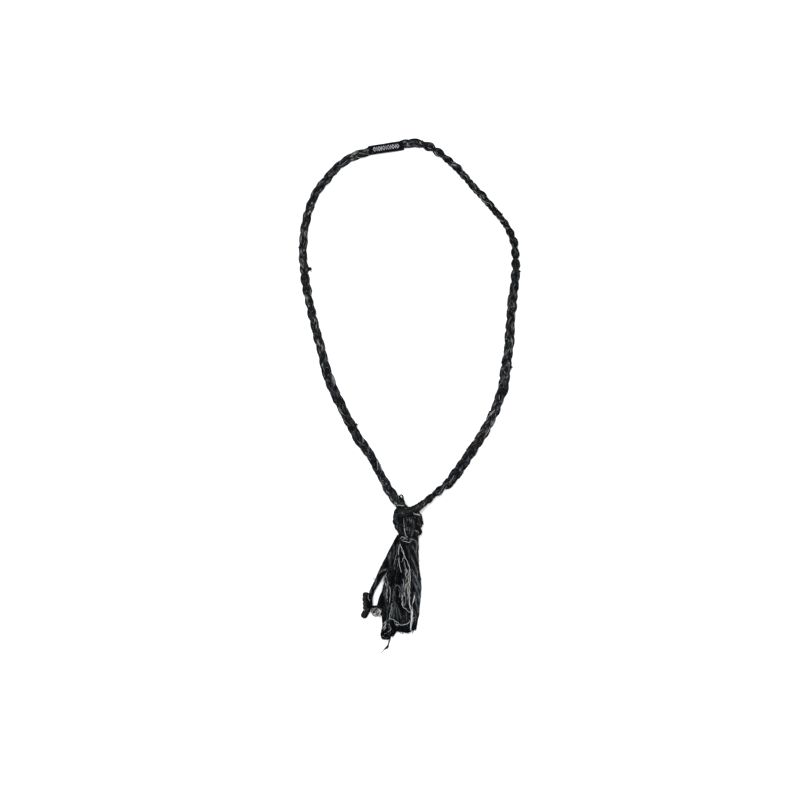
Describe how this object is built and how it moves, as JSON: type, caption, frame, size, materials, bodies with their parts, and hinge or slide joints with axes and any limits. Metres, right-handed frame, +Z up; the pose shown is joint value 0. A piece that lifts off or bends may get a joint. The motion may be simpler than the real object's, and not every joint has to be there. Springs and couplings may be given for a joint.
{
  "type": "braided necklace",
  "caption": "Long necklace plaited from dark cloth strips, joined by an overhand knot above a ragged strip tassel, with a woven label at the back of the neck.",
  "frame": {"origin": "middle of the outline, on the surface the necklace lies on", "axes": "+Y towards the back of the neck, away from the knot and tassel; +Z up from the surface; +X to the right of the outline"},
  "size_m": [0.1991, 0.4627, 0.0175],
  "materials": {
    "braid_cloth": "washed charcoal cotton cloth, crumpled, matt",
    "tassel_cloth": "washed charcoal cotton cloth with raw edges, matt",
    "label_tape": "dense woven tape, slightly silky",
    "strand": "single twisted cloth strand, matt"
  },
  "bodies": {
    "root": {"braid": "braid_cloth", "neck_label": "label_tape", "knot": "braid_cloth", "tassel": "tassel_cloth", "stray_strip": "tassel_cloth", "loose_strand": "strand"}
  },
  "joints": []
}
